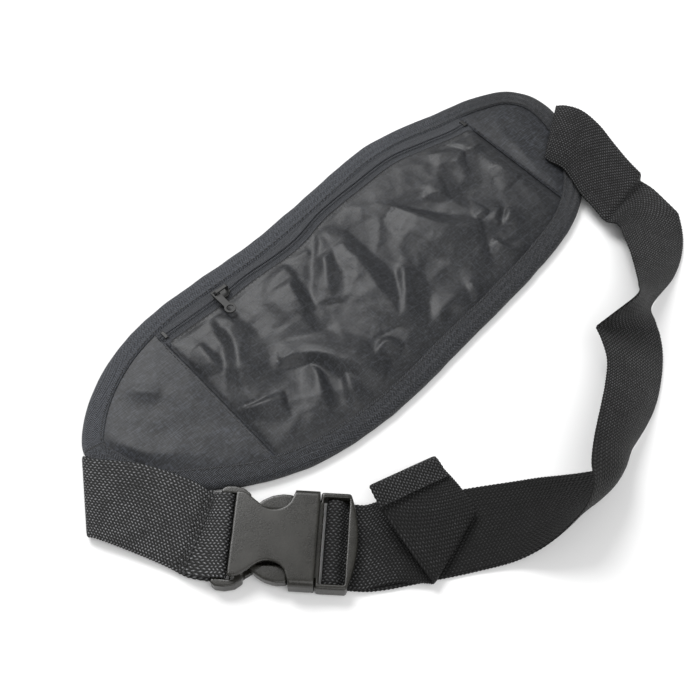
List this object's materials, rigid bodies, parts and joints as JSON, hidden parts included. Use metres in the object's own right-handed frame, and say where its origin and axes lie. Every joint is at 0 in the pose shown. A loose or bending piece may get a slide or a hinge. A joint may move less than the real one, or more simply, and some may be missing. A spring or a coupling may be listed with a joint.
{
  "type": "money belt",
  "caption": "Flat bean-shaped zip pouch with a bound edge on a webbing waist strap, closed by a side-release buckle and lying loosely looped.",
  "frame": {"origin": "centre of the pouch's back face, on the surface it lies on", "axes": "+X along the zip towards its far stop, +Y across the pouch towards the zip edge, +Z out of the pouch's front"},
  "size_m": [0.3477, 0.2265, 0.0321],
  "materials": {
    "webbing": "woven, dull",
    "binding_tape": "twill, dull",
    "ripstop_nylon": "coated, slight sheen",
    "satin_nylon": "smooth, slight sheen",
    "lining_cloth": "plain weave",
    "zip_tape": "herringbone, dull",
    "zip_coil": "satin",
    "thread": "twisted",
    "slider_metal": "satin",
    "buckle_plastic": "fine texture"
  },
  "bodies": {
    "pouch": {"back_panel": "satin_nylon", "inner_lining": "lining_cloth", "pocket_front": "ripstop_nylon", "left_end_panel": "satin_nylon", "right_end_panel": "satin_nylon", "edge_binding": "binding_tape", "zip_tape_upper": "zip_tape", "zip_tape_lower": "zip_tape", "zip_coil_upper": "zip_coil", "zip_coil_lower": "zip_coil", "zip_stop_left": "zip_coil", "zip_stop_right": "zip_coil", "panel_stitching": "thread", "left_strap": "webbing", "left_bar_tack": "thread", "main_strap": "webbing", "right_bar_tack": "thread", "buckle_socket": "buckle_plastic"},
    "slider": {"zip_slider": "slider_metal"},
    "pull_tab": {"zip_pull_tab": "slider_metal"},
    "plug": {"buckle_plug": "buckle_plastic", "strap_tail": "webbing"},
    "upper_prong": {"prong_upper": "buckle_plastic"},
    "lower_prong": {"prong_lower": "buckle_plastic"}
  },
  "joints": [
    {"name": "zip_slide", "type": "slide", "parent": "pouch", "child": "slider", "axis": [1, 0, 0], "range_m": [-0.0299, 0.1643]},
    {"name": "pull_tab_swivel", "type": "hinge", "parent": "slider", "child": "pull_tab", "pos_m": [-0.0603, 0.04, 0.0087], "axis": [0, 0, 1], "range_deg": [-180, 40]},
    {"name": "plug_slide", "type": "slide", "parent": "pouch", "child": "plug", "axis": [0.6984, -0.7157, 0], "range_m": [0, 0.034], "deforming": ["main_strap", "prong_upper", "prong_lower"]},
    {"name": "upper_prong_flex", "type": "hinge", "parent": "plug", "child": "upper_prong", "pos_m": [-0.0997, -0.07683, 0.0056], "axis": [0, 0, 1], "range_deg": [0, 7], "stiffness_Nm_per_rad": 0.5},
    {"name": "lower_prong_flex", "type": "hinge", "parent": "plug", "child": "lower_prong", "pos_m": [-0.12117, -0.09779, 0.0056], "axis": [0, 0, 1], "range_deg": [-7, 0], "stiffness_Nm_per_rad": 0.5}
  ],
  "couplings": [
    {"joint": "lower_prong_flex", "follows": "upper_prong_flex", "ratio": -1}
  ]
}
